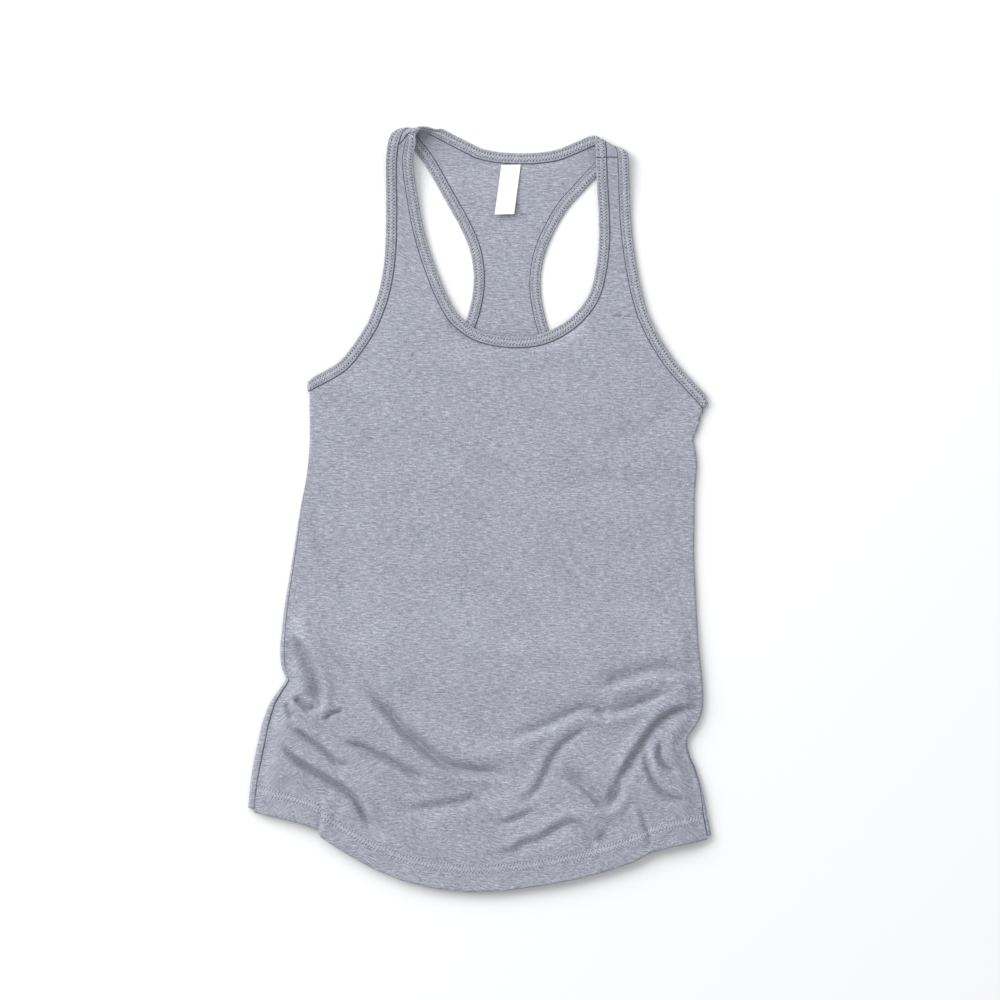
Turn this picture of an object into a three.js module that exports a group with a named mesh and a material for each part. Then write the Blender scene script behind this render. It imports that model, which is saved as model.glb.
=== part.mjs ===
// Women's racerback tank top of heather jersey, laid flat on its back, front panel up. Millimetres, +Z up, +Y towards
// the straps, the origin under the middle of the garment's box.
import * as THREE from "three";

// Driving dimensions
const WALL = 1.2; // jersey with its nap, as a solid wall
const SEAM_GAP = 0.3; // between two pieces at a seam
const BACK_MID = WALL / 2; // middle of the back panel's wall, so that its underside lies at z = 0
const FRONT_MID = 3.4; // middle of the front panel's wall where it lies on the back
const BINDING_WIDTH = 9.7; // folded 3/8 inch binding
const HEM_DEPTH = 20; // turned hem
const HEM_EXTRA = 0.5; // what the turned layer adds to the wall
const BACK_HEM_SHORT = 3; // the back hem lies this far inside the front one
const UNDERARM_ROLL_END = 74; // above this y the side roll opens out into the underarm point
const LABEL = { width: 17, length: 44, wall: 0.6, x: 3.6, top: 305.2, lean: -4, curl: 2.6 };
const PUFF = { rise: 4.2, start: -95, full: -175, hem: 2.2 }; // bunched cloth in the lower third
const COLUMNS = { frontSide: 16, frontMiddle: 12, backSide: 7, backMiddle: 4 };
const ROLL_COLUMNS = 3;
const MIDDLE = { x: 0.62, y: 0.79 }; // of the garment's box in the tables' own axes

// Front hem outline: x, y
const HEM = [
  [-206, -272], [-186, -275.3], [-166, -279], [-146, -284.5], [-139, -290], [-117, -305], [-93, -317.2],
  [-68, -326.7], [-41, -332.6], [-8, -334.9], [24, -332.6], [56, -326.9], [86, -320.2], [112, -312.1],
  [136, -303.2], [152, -293.5], [170, -288.2], [185, -284.4], [207, -278.6],
];

// Body rows that both panels share at the sides: rows added below, y, left side x, right side x, left and right seam
// angle (90 is on top of the side roll, 0 is at its outermost line)
const SIDES = [
  [0, -280, -203.6, 204.3, 38, -5], [2, -262, -202.8, 200.2, 40, -5], [2, -246, -201.6, 196.6, 40, -5],
  [2, -231, -199.5, 192.6, 40, -5], [2, -217, -197.2, 187.6, 40, 0], [2, -203, -195, 181.6, 42, 10],
  [2, -190, -191.6, 180, 44, 20], [2, -178, -187.2, 187.6, 40, 10], [2, -167, -180.8, 191.8, 30, 0],
  [2, -156, -175.4, 192.2, 25, -5], [2, -146, -179.4, 191.4, 25, -5], [2, -132, -181.2, 189.7, 30, -5],
  [2, -114, -180.8, 186.8, 36, -5], [1, -88, -178.7, 184, 40, -5], [1, -60, -175.2, 181.4, 40, -5],
  [1, -32, -172, 178.9, 38, -5], [1, -4, -168.8, 178, 34, -5], [1, 24, -164.6, 177.2, 30, 0],
  [1, 50, -163.1, 178.1, 20, 15], [1, 72, -163.6, 175.2, 10, 30], [1, 88, -164.8, 178.4, 5, 10],
  [1, 99, -165.2, 180.4, 5, 0],
];

// Front, underarm to the foot of the neck opening: rows added, left armhole x y z, left inner x y z, right inner x y z,
// right armhole x y z
const FRONT_CHEST = [
  [0, -165.2, 99, 3.4, -50, 60, 3.4, 70, 60, 3.4, 180.4, 99, 3.4],
  [1, -150, 107.3, 3.4, -50, 78, 3.4, 71, 80, 3.4, 167.5, 111.6, 3.4],
  [1, -133, 118.9, 3.4, -49.5, 102, 3.4, 73, 106, 3.4, 147.5, 132.2, 3.4],
  [1, -117, 140.5, 3.3, -49, 134, 3.4, 75, 138, 3.4, 131.3, 155, 3.3],
  [1, -107, 158.5, 3.1, -47.5, 168.6, 3.3, 76.8, 175.3, 3.3, 120.2, 176, 3.1],
];
// Front straps from there up: rows added, armhole x y z, neck x y z; the last row is the forward shoulder seam
const FRONT_LEFT = [
  [2, -99.5, 182, 2.8, -58.4, 187, 3.0], [2, -95.4, 206, 2.5, -68.2, 209, 2.6], [2, -94.1, 229, 2.5, -76.8, 232, 2.6],
  [1, -94.5, 252, 3.1, -83, 254, 3.2], [1, -95.2, 272, 4.4, -87, 273, 4.5], [1, -96.2, 290, 6.6, -90.3, 290, 6.8],
  [1, -96.6, 306, 8.9, -92, 307.5, 9.1], [1, -95.5, 318, 10.2, -88.5, 326.5, 10.3],
];
const FRONT_RIGHT = [
  [2, 113.5, 197, 2.8, 86.6, 192, 3.0], [2, 108.4, 218, 2.4, 91.6, 215, 2.5], [2, 104.2, 240, 2.3, 93.3, 240, 2.4],
  [1, 101.3, 261, 2.5, 92.4, 262, 2.6], [1, 99.5, 281, 3.7, 90.6, 281, 3.8], [1, 98.1, 299, 5.2, 88.7, 299, 5.3],
  [1, 96.8, 315.3, 6.5, 87.5, 315, 6.6],
];
const FRONT_SCOOP = [[-42, 162.6], [-25.2, 150.7], [-5.6, 145.3], [17.4, 144.4], [40.1, 148.6], [62.5, 161]];

// Back, underarm to the foot of the back neck, in the same columns
const BACK_CHEST = [
  [0, -165.2, 99, 0.6, -20, 20, 0.6, 26, 20, 0.6, 180.4, 99, 0.6],
  [1, -140, 95.6, 0.6, -20, 42, 0.6, 26, 42, 0.6, 155, 96, 0.6],
  [2, -106, 98, 0.6, -16, 68, 0.6, 24, 68, 0.6, 121, 99, 0.6],
  [2, -70, 110, 0.6, -11, 94, 0.6, 20, 94, 0.6, 85, 110.5, 0.6],
  [2, -42, 130, 0.6, -7, 120, 0.6, 17, 119, 0.6, 57, 126, 0.6],
  [2, -25, 154, 0.6, -4, 150, 0.6, 14, 149, 0.6, 39, 147, 0.6],
  [2, -17.4, 178, 0.6, -3, 182, 0.6, 13, 182, 0.6, 27.8, 178, 0.6],
  [1, -15.2, 203, 0.6, -3, 205, 0.6, 13, 205, 0.6, 24.1, 203, 0.6],
  [2, -19.6, 230, 0.6, -5, 231, 0.6, 15, 231, 0.6, 27, 230, 0.6],
  [1, -30, 253, 0.6, -9.5, 257, 0.6, 20, 257, 0.6, 35.6, 253.4, 0.6],
  [1, -42.5, 273.5, 0.6, -17.5, 284, 0.6, 29, 284, 0.6, 47, 274.5, 0.6],
  [1, -55, 294, 0.6, -34, 312.6, 0.6, 52, 313.2, 0.6, 61, 291.4, 0.6],
];
// Back wings from there over the shoulders, down to the forward shoulder seams
const BACK_LEFT = [
  [1, -66, 310.8, 0.6, -48.5, 318.8, 0.6], [1, -75, 321.4, 0.7, -59.5, 324.2, 0.7],
  [2, -81.8, 328.6, 1.7, -68.5, 329.3, 1.7], [3, -88, 333.6, 5.3, -77, 334, 5.3],
  [3, -93.2, 328.6, 9.6, -84.4, 331.8, 10], [2, -95.5, 318, 10.2, -88.5, 326.5, 10.3],
];
const BACK_RIGHT = [
  [1, 71.5, 304, 0.6, 64, 319, 0.6], [1, 80.6, 314, 0.65, 73.5, 323.6, 0.65],
  [2, 88, 321.4, 1.3, 80, 326.8, 1.3], [3, 93.4, 325.9, 3.7, 84.6, 328.9, 3.7],
  [3, 95.9, 322.2, 6.1, 86.5, 324.3, 6.1], [2, 96.8, 315.3, 6.5, 87.5, 315, 6.6],
];
const BACK_SCOOP = [[-25.7, 309.2], [-8.8, 306.4], [7, 306], [22, 306.6], [40.9, 309.5]];

// Largest folds of the front: rise (below 0 for a trough), half width, then the line's points x, y
const FOLDS = [
  [3.4, 15, -168, -84, -146, -122, -118, -166, -88, -203, -58, -226],
  [-6, 8, -103, -158, -89, -177, -68, -198, -46, -213, -24, -227, 0, -230, 20, -233],
  [-5.5, 7, -175, -213, -154, -231, -136, -241, -116, -252, -104, -262, -92, -280],
  [-5, 8, -160, -128, -146, -152, -143, -176],
  [-4, 6, -168, -172, -152, -181, -132, -184, -111, -182],
  [-4, 6, -161, -196, -138, -216, -117, -229],
  [-4.5, 7, -98, -214, -80, -223, -58, -236],
  [-3.5, 8, -72, -256, -54, -262, -24, -258, 0, -254],
  [-5, 8, 44, -191, 64, -180, 84, -173, 116, -169, 132, -166, 156, -157],
  [-4, 8, 98, -150, 122, -146, 143, -136, 168, -133],
  [-6.5, 9, 169, -168, 153, -177, 140, -196, 130, -214, 120, -232],
  [-4.5, 7, 93, -188, 74, -200, 61, -214, 53, -234],
  [-5, 7, 74, -231, 94, -239, 110, -256],
  [3, 10, 148, -150, 116, -158, 84, -162, 56, -172, 30, -188],
  [2.6, 9, 96, -176, 62, -190, 38, -212, 30, -232],
  [2.8, 9, 164, -150, 138, -180, 118, -206, 104, -222],
  [2.4, 9, -30, -246, 10, -247, 44, -246, 78, -248],
  [2.4, 10, -150, -196, -128, -206, -92, -234, -60, -248],
  [1.6, 16, -150, 88, -118, 84, -92, 96],
  [1.5, 18, 168, 84, 132, 76, 96, 88],
];

const vector = (x, y, z = 0) => new THREE.Vector3(x, y, z);
const smooth = (t) => THREE.MathUtils.smoothstep(t, 0, 1);

// Piecewise reading of a table of x, y pairs
function tableAt(table, x) {
  let i = 1;
  while (i < table.length - 1 && x > table[i][0]) i++;
  const [x0, y0] = table[i - 1];
  const [x1, y1] = table[i];
  const t = THREE.MathUtils.clamp((x - x0) / (x1 - x0), 0, 1);
  return THREE.MathUtils.lerp(y0, y1, t);
}

// Stations joined by a curve: returns one point per added row, the first station included
function curveRows(stations, added) {
  const curve = new THREE.CatmullRomCurve3(stations, false, "centripetal");
  const last = stations.length - 1;
  const points = [stations[0].clone()];
  for (let i = 1; i <= last; i++) {
    for (let k = 1; k <= added[i]; k++) points.push(curve.getPoint((i - 1 + k / added[i]) / last));
  }
  return points;
}

function distanceToLine(x, y, fold) {
  let best = Infinity;
  for (let i = 2; i + 3 < fold.length; i += 2) {
    const [ax, ay, bx, by] = fold.slice(i, i + 4);
    const t = THREE.MathUtils.clamp(
      ((x - ax) * (bx - ax) + (y - ay) * (by - ay)) / ((bx - ax) ** 2 + (by - ay) ** 2), 0, 1);
    best = Math.min(best, Math.hypot(x - ax - t * (bx - ax), y - ay - t * (by - ay)));
  }
  return best;
}

// Height of the front's folds above its rest, fading towards the sides
function foldLift(x, y, fromSide) {
  const low = smooth((PUFF.start - y) / (PUFF.start - PUFF.full));
  const nearHem = smooth((y - tableAt(HEM, x)) / 60);
  let lift = low * THREE.MathUtils.lerp(PUFF.hem, PUFF.rise, nearHem);
  for (const fold of FOLDS) {
    lift += fold[0] * Math.exp(-((distanceToLine(x, y, fold) / fold[1]) ** 2));
  }
  const open = (lift + Math.sqrt(lift * lift + 0.8)) / 2;
  return Math.max(0, open - 0.44) * THREE.MathUtils.lerp(0.3, 1, smooth(fromSide / 22));
}

// The hem's curve is worked into the rows above it, so that each row bends a little less than the one below
function bendToHem(point, short) {
  const share = smooth((-90 - point.y) / 190);
  return vector(point.x, point.y + (tableAt(HEM, point.x) + short + 280) * share, point.z);
}

// Side roll of one body row: points from the seam to the flat of the panel, as distances inwards and heights
function sideRoll(front, y, angle, lift) {
  const radius = (FRONT_MID + lift - BACK_MID) / 2;
  const middle = BACK_MID + radius;
  const end = front ? 90 : -90;
  const half = THREE.MathUtils.radToDeg(0.9 * SEAM_GAP / radius);
  const start = front ? angle + half : angle - half;
  const closed = 1 - smooth((y - UNDERARM_ROLL_END) / (96 - UNDERARM_ROLL_END));
  const flat = front ? FRONT_MID + lift : BACK_MID;
  const steps = [];
  for (let k = 0; k <= ROLL_COLUMNS; k++) {
    const turn = THREE.MathUtils.degToRad(THREE.MathUtils.lerp(start, end, k / ROLL_COLUMNS));
    const inwards = radius + WALL / 2 - radius * Math.cos(turn);
    const open = 0.6 + 1.1 * k;
    steps.push({
      inwards: THREE.MathUtils.lerp(open, inwards, closed),
      z: THREE.MathUtils.lerp(flat, middle + radius * Math.sin(turn), closed),
      sideways: Math.cos(turn) * closed,
      opened: 1 - closed,
      upwards: THREE.MathUtils.lerp(front ? 1 : -1, Math.sin(turn), closed),
    });
  }
  return steps;
}

// One panel's middle surface: rows of shared vertices, three blocks wide below the neck and two straps above it
function panelSurface({ front, chest, left, right, scoop, side, middle, short }) {
  const vertices = [];
  const quads = [];
  const fixed = new Map();
  const add = (p) => vertices.push(p) - 1;
  const added = SIDES.map((row) => row[0]);
  const base = front ? FRONT_MID : BACK_MID;
  const column = (table, i, count = 3) => table.map((row) => vector(...row.slice(i, i + count)));
  const sideLine = (i) => curveRows(SIDES.map((row) => vector(row[i], row[1], base)), added);
  const angleLine = (i) => curveRows(SIDES.map((row) => vector(row[i], 0)), added).map((p) => p.x);
  const innerLine = (i) => sideLine(2).map((p, j, all) => {
    const t = j / (all.length - 1);
    const y = p.y < -100 ? p.y : -100 + (p.y + 100) * (chest[0][i + 1] + 100) / (chest[0][2] + 100);
    return vector(chest[0][i] + (1 - t) * (i < 6 ? -22 : 12), y, base);
  });
  const chestAdded = chest.map((row) => row[0]);
  const withSides = (i) => curveRows(column(chest, i), chestAdded).slice(1);

  // The neck seam is one curve through both straps and the scoop
  const neckStations = [
    ...[...left].reverse().map((row) => vector(...row.slice(4, 7))),
    vector(...chest.at(-1).slice(4, 7)),
    ...scoop.map(([x, y]) => vector(x, y, chest.at(-1)[6])),
    vector(...chest.at(-1).slice(7, 10)),
    ...right.map((row) => vector(...row.slice(4, 7))),
  ];
  const neckCurve = new THREE.CatmullRomCurve3(neckStations, false, "centripetal");
  const neckLast = neckStations.length - 1;
  const neckAt = (station) => neckCurve.getPoint(station / neckLast);
  const leftFoot = left.length;
  const rightFoot = leftFoot + scoop.length + 1;

  const outerLeft = [...sideLine(2), ...withSides(1)];
  const outerRight = [...sideLine(3), ...withSides(10)];
  const innerLeft = [...innerLine(4), ...withSides(4)];
  const innerRight = [...innerLine(7), ...withSides(7)];
  const angles = [angleLine(4), angleLine(5)];
  const corner = sideLine(2).length - 1;
  const foot = outerLeft.length - 1;

  const place = (p, fromSide) => {
    const bent = bendToHem(p, short);
    if (front) bent.z += foldLift(bent.x, bent.y, fromSide);
    return bent;
  };

  // Cells of one row, from the armhole or side to the inner line
  const rowFrom = (outer, inner, inwards, roll) => {
    const ids = [];
    for (let k = 0; k <= ROLL_COLUMNS; k++) {
      const step = roll ? roll[k] : { inwards: 1.1 * k * Math.min(1, outer.distanceTo(inner) / 40), z: null };
      const p = roll
        ? outer.clone().addScaledVector(inwards, step.inwards)
        : outer.clone().lerp(inner, step.inwards / outer.distanceTo(inner));
      const bent = roll ? bendToHem(p, short) : place(p, 1e3);
      if (roll) {
        bent.y += step.opened * step.inwards * (inner.y - outer.y) / Math.abs(inner.x - outer.x);
        bent.z = step.z;
        fixed.set(vertices.length, vector(-inwards.x * step.sideways, 0, step.upwards).normalize());
      }
      ids.push(add(bent));
    }
    const flat = vertices[ids.at(-1)];
    const start = roll ? outer.clone().addScaledVector(inwards, roll.at(-1).inwards) : outer.clone()
      .lerp(inner, 1.1 * ROLL_COLUMNS * Math.min(1, outer.distanceTo(inner) / 40) / outer.distanceTo(inner));
    start.z = roll ? base : flat.z;
    if (!roll) start.z = THREE.MathUtils.lerp(outer.z, inner.z, 0.1);
    const cells = side - ROLL_COLUMNS;
    for (let k = 1; k <= cells; k++) {
      const t = k / cells;
      const p = start.clone().lerp(inner, t);
      ids.push(add(place(p, roll ? start.distanceTo(p) : 1e3)));
    }
    return ids;
  };

  const body = [];
  for (let j = 0; j <= foot; j++) {
    const rows = [];
    for (const [s, outer, inner] of [[0, outerLeft, innerLeft], [1, outerRight, innerRight]]) {
      let roll = null;
      if (j <= corner) {
        const spot = bendToHem(outer[j], short);
        const lift = foldLift(spot.x, spot.y, 0);
        roll = sideRoll(front, outer[j].y, angles[s][j], lift);
      }
      rows.push(rowFrom(outer[j], inner[j], vector(s ? -1 : 1, 0), roll));
    }
    // The middle block's top row is the scoop; the rows below straighten out
    const pull = smooth((j - corner + 3) / (foot - corner + 3));
    const ends = [innerLeft[j], innerRight[j]];
    const line = [rows[0].at(-1)];
    for (let k = 1; k < middle; k++) {
      const t = k / middle;
      const p = ends[0].clone().lerp(ends[1], t);
      const onScoop = neckAt(THREE.MathUtils.lerp(leftFoot, rightFoot, t));
      const chord = innerLeft[foot].clone().lerp(innerRight[foot], t);
      p.addScaledVector(onScoop.sub(chord), pull);
      line.push(add(place(p, 1e3)));
    }
    line.push(rows[1].at(-1));
    body.push([...rows[0].slice(0, -1), ...line, ...rows[1].slice(0, -1).reverse()]);
  }

  // Straps or wings: the neck end of each row lies on the neck curve
  const strap = (table, from, outerFoot, footRow, sign) => {
    const outer = curveRows([outerFoot, ...table.map((row) => vector(...row.slice(1, 4)))], [0, ...table.map((r) => r[0])]);
    const stations = [];
    table.forEach((row, i) => {
      for (let k = 1; k <= row[0]; k++) stations.push(i + k / row[0]);
    });
    const rows = [footRow];
    stations.forEach((station, i) => {
      const inner = neckAt(from + sign * station);
      const ids = [];
      const shift = vector(0, 0);
      if (i === stations.length - 1) {
        const across = inner.clone().sub(outer[i + 1]).normalize();
        shift.copy(outer[i + 1]).sub(outer[i]).setZ(0);
        shift.addScaledVector(across, -shift.dot(across)).setLength(SEAM_GAP * 0.6);
      }
      for (let k = 0; k <= side; k++) {
        const small = 1.1 * ROLL_COLUMNS * Math.min(1, outer[i + 1].distanceTo(inner) / 40) / outer[i + 1].distanceTo(inner);
        const t = k <= ROLL_COLUMNS
          ? small * k / ROLL_COLUMNS
          : THREE.MathUtils.lerp(small, 1, (k - ROLL_COLUMNS) / (side - ROLL_COLUMNS));
        const p = outer[i + 1].clone().lerp(inner, t).sub(shift);
        if (front) p.z += foldLift(p.x, p.y, 1e3);
        ids.push(add(p));
      }
      rows.push(ids);
    });
    return rows;
  };
  const top = body.at(-1);
  const leftRows = strap(left, leftFoot, outerLeft[foot], top.slice(0, side + 1), -1);
  const rightRows = strap(right, rightFoot, outerRight[foot], top.slice(side + middle).reverse(), 1);

  const join = (rows, flip) => {
    for (let j = 1; j < rows.length; j++) {
      for (let k = 1; k < rows[j].length; k++) {
        const quad = [rows[j - 1][k - 1], rows[j - 1][k], rows[j][k], rows[j][k - 1]];
        quads.push(flip ? quad.reverse() : quad);
      }
    }
  };
  join(body, !front);
  join(leftRows, !front);
  join(rightRows, front);

  const edge = (rows, k, inner) => rows.map((row) => ({ at: row[k], from: row[inner] }));
  const arm = (s, rows) => [
    ...body.slice(corner, foot).map((row) => (s
      ? { at: row.at(-1), from: row.at(-2) }
      : { at: row[0], from: row[1] })),
    ...edge(rows, 0, 1),
  ];
  const scoopEdge = top.slice(side + 1, side + middle).map((id, k) => ({ at: id, from: body.at(-2)[side + 1 + k] }));
  return {
    vertices,
    quads,
    fixed,
    armLeft: arm(0, leftRows),
    armRight: arm(1, rightRows),
    neck: [
      ...edge(leftRows, side, side - 1).reverse(),
      ...scoopEdge,
      ...edge(rightRows, side, side - 1),
    ],
  };
}

function surfaceNormals({ vertices, quads, fixed }) {
  const normals = vertices.map(() => vector(0, 0));
  for (const quad of quads) {
    const [a, b, c, d] = quad.map((id) => vertices[id]);
    const n = c.clone().sub(a).cross(d.clone().sub(b));
    quad.forEach((id) => normals[id].add(n));
  }
  return normals.map((n, id) => fixed.get(id) ?? n.normalize());
}

// Closed shell about a middle surface: outer face, inner face, and a rim along each open edge
function shell(surface, outward, inward) {
  const normals = surface.normals;
  const count = surface.vertices.length;
  const outer = surface.vertices.map((p, i) => p.clone().addScaledVector(normals[i], outward(p)));
  const inner = surface.vertices.map((p, i) => p.clone().addScaledVector(normals[i], -inward(p)));
  const faces = [];
  const open = new Map();
  for (const [a, b, c, d] of surface.quads) {
    faces.push([a, b, c], [a, c, d]);
    faces.push([a + count, c + count, b + count], [a + count, d + count, c + count]);
    for (const [from, to] of [[a, b], [b, c], [c, d], [d, a]]) {
      if (!open.delete(`${to} ${from}`)) open.set(`${from} ${to}`, [from, to]);
    }
  }
  for (const [from, to] of open.values()) {
    faces.push([to, from, from + count], [to, from + count, to + count]);
  }
  return geometryOf([...outer, ...inner], faces);
}

function geometryOf(points, faces) {
  const geometry = new THREE.BufferGeometry();
  geometry.setAttribute("position", new THREE.Float32BufferAttribute(points.flatMap((p) => p.toArray()), 3));
  geometry.setIndex(faces.flat());
  geometry.computeVertexNormals();
  return geometry;
}

// Frames along a line of panel edge vertices: along the edge, away from the panel, and up off its wall; where rows are
// close together at the shoulders they are evened out
function edgeFrames(line, ends) {
  const stations = line.filter((s, i) => i === 0 || s.p.distanceTo(line[i - 1].p) > 0.5);
  const last = stations.length - 1;
  let frames = stations.map((s, i) => {
    const along = stations[Math.min(last, i + 1)].p.clone().sub(stations[Math.max(0, i - 1)].p).normalize();
    const away = s.p.clone().sub(s.from).normalize();
    const lies = smooth((Math.abs(s.n.z) - 0.7) / 0.25);
    away.addScaledVector(along, -away.dot(along) * lies);
    if (lies > 0) away.z *= 0.5;
    return { p: s.p, along, away: away.normalize(), up: s.n.clone(), lies };
  });
  for (let pass = 0; pass < 6; pass++) {
    frames = frames.map((f, i) => {
      if (i === 0 || i === last) return f;
      const near = [frames[i - 1], frames[i + 1]];
      const away = f.away.clone();
      for (const n of near) away.addScaledVector(n.away, 0.5 * Math.exp(-((n.p.distanceTo(f.p) / 6) ** 2)));
      return { ...f, away: away.normalize() };
    });
  }
  if (ends) {
    for (const f of [frames[0], frames[last]]) f.away = ends.clone();
  }
  for (const f of frames) f.up.addScaledVector(f.away, -f.up.dot(f.away)).normalize();
  return frames;
}

// Binding strip: a rounded section that stands on the panel's own edge frames
function bindingStrip(line, ends) {
  const frames = edgeFrames(line, ends);
  const points = [];
  const faces = [];
  let size = 0;
  for (const { p, along, away, up, lies } of frames) {
    const skew = Math.max(0.8, away.clone().cross(along).length());
    const width = BINDING_WIDTH / Math.max(skew, 0.9);
    const onBack = smooth((0.5 - up.z) / 1.2);
    const high = THREE.MathUtils.lerp(1.1, 0.6, onBack);
    const low = THREE.MathUtils.lerp(-0.8, -1.35, onBack);
    const middle = (high + low) / 2;
    const half = (high - low) / 2;
    const gap = SEAM_GAP / skew + 0.05 + 0.45 * (1 - lies) + 0.2 * smooth((p.z - 4) / 2);
    const section = [
      [gap, middle + 0.8 * half], [gap + 1.2, high], [width - 1.4, high], [width - 0.35, middle + 0.6 * half],
      [width, middle], [width - 0.35, middle - 0.6 * half], [width - 1.4, low], [gap + 1.2, low],
      [gap, middle - 0.8 * half],
    ];
    size = section.length;
    for (const [out, rise] of section) {
      const point = p.clone().addScaledVector(away, out).addScaledVector(up, rise);
      points.push(point.setZ(Math.max(0, point.z)));
    }
  }
  for (let i = 1; i < frames.length; i++) {
    for (let k = 0; k < size; k++) {
      const a = (i - 1) * size + k;
      const b = (i - 1) * size + ((k + 1) % size);
      faces.push([a, b, b + size], [a, b + size, a + size]);
    }
  }
  const end = (frames.length - 1) * size;
  for (let k = 1; k < size - 1; k++) faces.push([0, k + 1, k], [end, end + k, end + k + 1]);
  return { points, faces };
}

// Turns a strip's faces outwards by the sign of its volume
function outwardGeometry({ points, faces }) {
  let volume = 0;
  for (const [a, b, c] of faces) volume += points[a].dot(points[b].clone().cross(points[c]));
  return geometryOf(points, volume < 0 ? faces.map((f) => [...f].reverse()) : faces);
}

const frontPanel = panelSurface({
  front: true, chest: FRONT_CHEST, left: FRONT_LEFT, right: FRONT_RIGHT, scoop: FRONT_SCOOP,
  side: COLUMNS.frontSide, middle: COLUMNS.frontMiddle, short: 0,
});
const backPanel = panelSurface({
  front: false, chest: BACK_CHEST, left: BACK_LEFT, right: BACK_RIGHT, scoop: BACK_SCOOP,
  side: COLUMNS.backSide, middle: COLUMNS.backMiddle, short: BACK_HEM_SHORT,
});
for (const panel of [frontPanel, backPanel]) panel.normals = surfaceNormals(panel);

const inHem = (p, short) => p.y < tableAt(HEM, p.x) + short + HEM_DEPTH;
const lineOf = (panel, edge) => edge.map(({ at, from }) => ({
  p: panel.vertices[at], from: panel.vertices[from], n: panel.normals[at],
}));

function labelGeometry() {
  const points = [];
  const faces = [];
  const rows = 8;
  for (let j = 0; j <= rows; j++) {
    const t = j / rows;
    const y = LABEL.top - t * LABEL.length;
    const x = LABEL.x + LABEL.lean * t;
    const z = WALL + SEAM_GAP + LABEL.curl * t ** 2.5;
    for (const [s, h] of [[-0.5, 0], [0.5, 0], [0.5, 1], [-0.5, 1]]) {
      points.push(vector(x + s * LABEL.width, y + s * 1.2, z + h * LABEL.wall));
    }
  }
  for (let j = 0; j < rows; j++) {
    for (let k = 0; k < 4; k++) {
      const a = 4 * j + k;
      const b = 4 * j + ((k + 1) % 4);
      faces.push([a, b, b + 4], [a, b + 4, a + 4]);
    }
  }
  const z = 4 * rows;
  faces.push([0, 2, 1], [0, 3, 2], [z, z + 1, z + 2], [z, z + 2, z + 3]);
  return { points, faces };
}

const jersey = { color: 0x9a9ba6, roughness: 0.95, metalness: 0 };
const mesh = (name, geometry, look) => {
  const made = new THREE.Mesh(geometry, new THREE.MeshStandardMaterial(look));
  made.name = name;
  return made;
};

const root = new THREE.Group();
root.position.set(-MIDDLE.x, -MIDDLE.y, 0);
root.add(
  mesh("front_panel", shell(frontPanel, (p) => WALL / 2 + (inHem(p, 0) ? HEM_EXTRA : 0), () => WALL / 2), jersey),
  mesh("back_panel",
    shell(backPanel, () => WALL / 2, (p) => WALL / 2 + (inHem(p, BACK_HEM_SHORT) ? HEM_EXTRA : 0)), jersey),
  mesh("neck_binding", outwardGeometry(bindingStrip(
    [...lineOf(backPanel, backPanel.neck).reverse(), ...lineOf(frontPanel, frontPanel.neck)], null)), jersey),
  mesh("armhole_binding_left", outwardGeometry(bindingStrip(
    [...lineOf(frontPanel, frontPanel.armLeft), ...lineOf(backPanel, backPanel.armLeft).reverse()],
    vector(0, 1))), jersey),
  mesh("armhole_binding_right", outwardGeometry(bindingStrip(
    [...lineOf(frontPanel, frontPanel.armRight), ...lineOf(backPanel, backPanel.armRight).reverse()],
    vector(0, 1))), jersey),
  mesh("neck_label", outwardGeometry(labelGeometry()), { color: 0xf4f4f2, roughness: 0.7, metalness: 0 }),
);

export default root;
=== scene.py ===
"""Women's racerback tank top of heather jersey, laid flat on a pale surface with the front panel up, seen from above."""

import math

import bmesh
import bpy
import numpy as np
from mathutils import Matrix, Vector


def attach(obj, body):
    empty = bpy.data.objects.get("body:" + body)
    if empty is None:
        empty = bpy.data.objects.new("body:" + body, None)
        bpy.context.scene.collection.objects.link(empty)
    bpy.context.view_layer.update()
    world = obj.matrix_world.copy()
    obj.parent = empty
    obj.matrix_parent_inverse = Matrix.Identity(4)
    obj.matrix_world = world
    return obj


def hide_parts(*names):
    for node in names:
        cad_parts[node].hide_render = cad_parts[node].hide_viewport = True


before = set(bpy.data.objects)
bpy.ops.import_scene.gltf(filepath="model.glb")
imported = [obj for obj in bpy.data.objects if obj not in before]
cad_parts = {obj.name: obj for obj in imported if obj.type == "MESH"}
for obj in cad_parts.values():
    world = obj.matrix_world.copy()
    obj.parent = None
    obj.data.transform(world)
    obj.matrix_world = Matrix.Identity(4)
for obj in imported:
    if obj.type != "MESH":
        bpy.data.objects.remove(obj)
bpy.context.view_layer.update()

# Sizes in millimetres, in the garment's own axes; MIDDLE is the middle of its box there
MM = 0.001
MIDDLE = np.array([0.62, 0.79, 0.0])
WALL = 1.2
CLOTH = 0.85
BACK_MID = 0.6
FRONT_MID = 3.4
BINDING_WIDTH = 9.7
HEM_DEPTH = 20.0
BACK_HEM_SHORT = 3.0
ROLL_OPENS = 86.0

# Cells between stations: rows up the sides, rows over chest and straps, columns of the side roll, sides and middle
FRONT_FINE = {"rows": 5, "top": 3, "roll": 7, "side": 82, "middle": 66}
BACK_FINE = {"rows": 4, "top": 4, "roll": 8, "side": 34, "middle": 22}

# Front hem line: x and y, with the small step where a crease crosses it at the left
HEM = np.array([
    (-206, -272), (-186, -275.3), (-166, -279), (-146, -284.2), (-141.5, -286), (-138.8, -292), (-130, -297.6),
    (-117, -305), (-93, -317.2), (-68, -326.7), (-41, -332.6), (-8, -334.9), (24, -332.6), (56, -326.9),
    (86, -320.2), (112, -312.1), (136, -303.2), (152, -293.5), (170, -288.2), (185, -284.4), (207, -278.6),
])

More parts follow.
